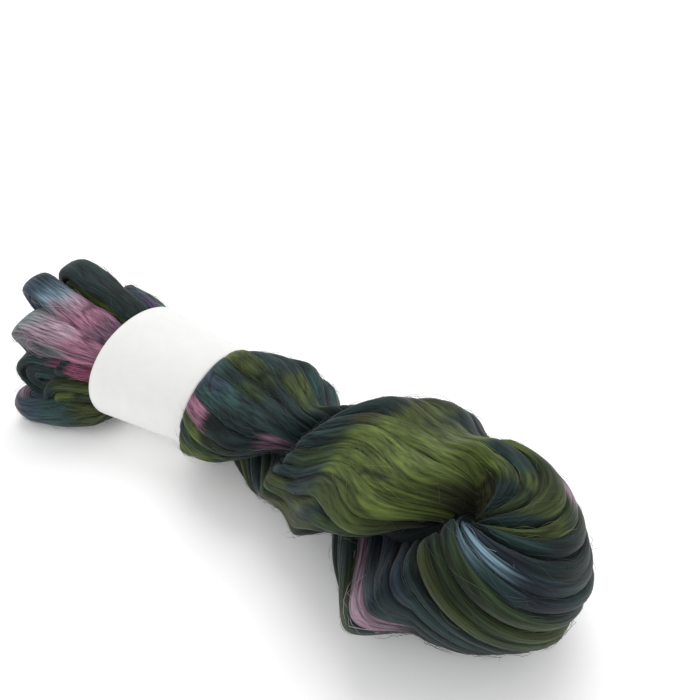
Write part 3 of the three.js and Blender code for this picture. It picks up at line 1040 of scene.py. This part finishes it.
@dataclass(frozen=True)
class DyedCottonTop:
    """Combed cotton top, hand-dyed: long soft fibres laid side by side, so dull, streaked and silky.

    The streaks are drawn 0.75 mm wide, because real fibres, 0.02 mm, are too fine to show. Locks are
    the broad tufts of paler and darker fibre. The partings are painted shade: dark lines where the top
    opens between the locks.
    """

    streaks: Pattern = Pattern(0.75, 16.0, 3.7, 2.5, 0.65, 0.3, 0.7, 0.2, 2.0)
    locks: Pattern = Pattern(4.0, 60.0, 5.3, 2.0, 0.5, 0.3, 0.7, 0.62, 1.38)
    # Painted shade: thin dark lines, down to 0.45 of the colour, where the top parts between locks
    parting_shade: Pattern = Pattern(9.0, 90.0, 7.9, 1.0, 0.5, 0.0, 0.03, 0.45, 1.05)
    bump_mm: float = 1.0

    def material(self) -> bpy.types.Material:
        """Makes the material from the piece's dye and fibre attributes."""
        made, shader = new_material("dyed_combed_cotton", {
            "Roughness": 0.62, "Specular IOR Level": 0.15, "Sheen Weight": 0.1,
            "Sheen Roughness": 0.45})
        tree = made.node_tree
        dye_shade_and_sheen = add_node(tree, "ShaderNodeAttribute", {"attribute_name": "dye_shade_and_sheen"}, {})
        fibre = add_node(tree, "ShaderNodeAttribute", {"attribute_name": "fibre"}, {})
        patterns, heights = (self.streaks, self.locks, self.parting_shade), []
        for pattern in patterns:
            stretched = add_node(tree, "ShaderNodeVectorMath", {"operation": "MULTIPLY"}, {
                0: fibre.outputs["Vector"], 1: (1 / pattern.width, 1 / pattern.length, pattern.layer)})
            noise = add_node(tree, "ShaderNodeTexNoise", {"noise_dimensions": "3D"}, {
                "Vector": stretched.outputs[0], "Scale": 1.0, "Detail": pattern.detail,
                "Roughness": pattern.roughness})
            heights.append(noise.outputs["Fac"])
        bump = add_node(tree, "ShaderNodeBump", {}, {
            "Height": heights[0], "Strength": 0.9, "Distance": self.bump_mm * METRE})
        # A parting, a line of painted shade, lies where the noise crosses its middle value
        offset = add_node(tree, "ShaderNodeMath", {"operation": "SUBTRACT"}, {0: heights[2], 1: 0.5})
        heights[2] = add_node(tree, "ShaderNodeMath", {"operation": "ABSOLUTE"}, {
            0: offset.outputs[0]}).outputs[0]
        colour = dye_shade_and_sheen.outputs["Color"]
        for pattern, height, ease in zip(patterns, heights, ("LINEAR", "LINEAR", "SMOOTHSTEP")):
            shade = add_node(tree, "ShaderNodeMapRange", {"interpolation_type": ease}, {
                "Value": height, "From Min": pattern.low, "From Max": pattern.high,
                "To Min": pattern.dark, "To Max": pattern.bright})
            colour = add_node(tree, "ShaderNodeVectorMath", {"operation": "SCALE"}, {
                0: colour, "Scale": shade.outputs["Result"]}).outputs[0]
        tree.links.new(colour, shader.inputs["Base Color"])
        tree.links.new(bump.outputs["Normal"], shader.inputs["Normal"])
        return made


@dataclass(frozen=True)
class LooseFibre:
    """Single cotton fibres: the strand's dyed colour, painted paler as sheen, too thin for a pattern of
    their own.
    """

    roughness: float = 0.6

    def material(self) -> bpy.types.Material:
        """Makes the material from the piece's dye attribute."""
        made, shader = new_material("loose_cotton_fibre", {
            "Roughness": self.roughness, "Specular IOR Level": 0.2})
        dye_shade_and_sheen = add_node(made.node_tree, "ShaderNodeAttribute", {"attribute_name": "dye_shade_and_sheen"}, {})
        made.node_tree.links.new(dye_shade_and_sheen.outputs["Color"], shader.inputs["Base Color"])
        return made


@dataclass(frozen=True)
class OfficePaper:
    """Uncoated white office paper, 90 g: matt, very faintly mottled, with a soft tooth.

    The tooth is drawn 0.5 mm wide; the real one, about 0.1 mm, is too fine to show.
    """

    mottle_mm: float = 9.0
    tooth_mm: float = 0.5
    tooth_depth_mm: float = 0.03

    def material(self) -> bpy.types.Material:
        """Makes the material on object coordinates."""
        made, shader = new_material("uncoated_white_paper", {
            "Roughness": 0.65, "Specular IOR Level": 0.35})
        tree = made.node_tree
        place = add_node(tree, "ShaderNodeTexCoord", {}, {})
        mottle, tooth = (add_node(tree, "ShaderNodeTexNoise", {"noise_dimensions": "3D"}, {
            "Vector": place.outputs["Object"], "Scale": 1 / (size * METRE), "Detail": detail})
            for size, detail in ((self.mottle_mm, 3.0), (self.tooth_mm, 2.0)))
        colour = add_node(tree, "ShaderNodeMix", {"data_type": "RGBA"}, {
            "Factor": mottle.outputs["Fac"], 6: (*linear("#f3f3f1"), 1.0),
            7: (*linear("#eaeae8"), 1.0)})
        bump = add_node(tree, "ShaderNodeBump", {}, {
            "Height": tooth.outputs["Fac"], "Strength": 0.15, "Distance": self.tooth_depth_mm * METRE})
        tree.links.new(colour.outputs[2], shader.inputs["Base Color"])
        tree.links.new(bump.outputs["Normal"], shader.inputs["Normal"])
        return made


@dataclass(frozen=True)
class Studio:
    """Pale floor, soft light from above and behind, and the camera at the photo's angle.

    The camera's place is in the part's own frame, millimetres; its focal length is in pixels of a
    picture 700 wide. The floor is in metres. The lamp's angle is the part of the sky that it fills.
    """

    azimuth: float = 37.9
    elevation: float = 32.6
    place: tuple[float, float, float] = (318.0, -204.0, 294.2)
    focal: float = 600.0
    picture: float = 700.0
    sensor: float = 36.0
    floor_half: float = 30.0
    lamp_from: tuple[float, float, float] = (-0.3, 0.5, 1.1)
    lamp_angle: float = 40.0
    lamp_power: float = 1.0
    room_light: float = 0.82
    floor_glow: float = 0.12

    def camera(self, shift: np.ndarray) -> None:
        """Makes the scene's camera."""
        a, e = math.radians(self.azimuth), math.radians(self.elevation)
        look = Vector((-math.sin(a) * math.cos(e), math.cos(a) * math.cos(e), -math.sin(e)))
        data = bpy.data.cameras.new("camera")
        data.sensor_width = self.sensor
        data.lens = self.sensor * self.focal / self.picture
        data.clip_start, data.clip_end = 0.01, 20.0
        camera = bpy.data.objects.new("camera", data)
        camera.location = Vector((np.array(self.place) + shift) * METRE)
        camera.rotation_mode = "QUATERNION"
        camera.rotation_quaternion = look.to_track_quat("-Z", "Y")
        bpy.context.scene.collection.objects.link(camera)
        bpy.context.scene.camera = camera

    def floor(self) -> None:
        """Adds the pale floor, which isn't part of the object."""
        mesh, half = bpy.data.meshes.new("floor"), self.floor_half
        mesh.from_pydata([(-half, -half, 0), (half, -half, 0), (half, half, 0), (-half, half, 0)], [],
                         [(0, 1, 2, 3)])
        made, _ = new_material("matt_white_floor", {
            "Base Color": (1.0, 1.0, 1.0, 1.0), "Emission Color": (1.0, 1.0, 1.0, 1.0),
            "Emission Strength": self.floor_glow, "Roughness": 0.9})
        mesh.materials.append(made)
        floor = bpy.data.objects.new("floor", mesh)
        bpy.context.scene.collection.objects.link(floor)

    def light(self) -> None:
        """Adds one wide soft lamp, which falls evenly on the whole floor, and the light of the room."""
        data = bpy.data.lights.new("key", "SUN")
        data.angle, data.energy = math.radians(self.lamp_angle), self.lamp_power
        lamp = bpy.data.objects.new("key", data)
        lamp.rotation_mode = "QUATERNION"
        lamp.rotation_quaternion = (-Vector(self.lamp_from)).to_track_quat("-Z", "Y")
        bpy.context.scene.collection.objects.link(lamp)
        world = bpy.data.worlds.new("room")
        world.use_nodes = True
        room = world.node_tree.nodes["Background"]
        room.inputs["Color"].default_value = (1.0, 1.0, 1.0, 1.0)
        room.inputs["Strength"].default_value = self.room_light
        bpy.context.scene.world = world
        bpy.context.scene.view_settings.view_transform = "Standard"


def frame_shift() -> np.ndarray:
    """Shift from the part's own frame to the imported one, millimetres: how far the band's box moved."""
    angle = np.linspace(0, 2 * math.pi, 64, endpoint=False)
    ring = BAND.point(np.array([[-1.0], [1.0]]), angle[None], 0.0).reshape(-1, 3)
    low, high = (np.array(corner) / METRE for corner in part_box("paper_band"))
    return (low + high) / 2 - (ring.min(0) + ring.max(0)) / 2


def place_piece(piece: bpy.types.Object, node: str) -> None:
    """Rides a piece on the hank's body in place of a node, which it hides."""
    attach(piece, "root")
    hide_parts(node)
    LOG.info("%s: %d faces", piece.name, len(piece.data.polygons))


def main() -> None:
    logging.basicConfig(level=logging.INFO)
    shift = frame_shift()
    LOG.info("shift %s", np.round(shift, 2))
    studio, rope, loops = Studio(), Rope(), Loops()
    studio.camera(shift)
    studio.light()
    studio.floor()
    cotton = DyedCottonTop().material()
    strands = [rope.strand(index) for index in range(len(rope.strands))]
    coils = [loops.loop(index) for index in range(len(loops.loops))]
    for draft in (rope.heart(), *strands, *coils):
        place_piece(draft.piece(cotton, shift), "hank")
    fibres = StrayFibres().fibres(rope.surfaces + loops.surfaces)
    place_piece(fibres.piece(LooseFibre().material(), shift), "hank")
    place_piece(PaperStrip().strip().piece(OfficePaper().material(), shift), "paper_band")


if __name__ == "__main__":
    main()
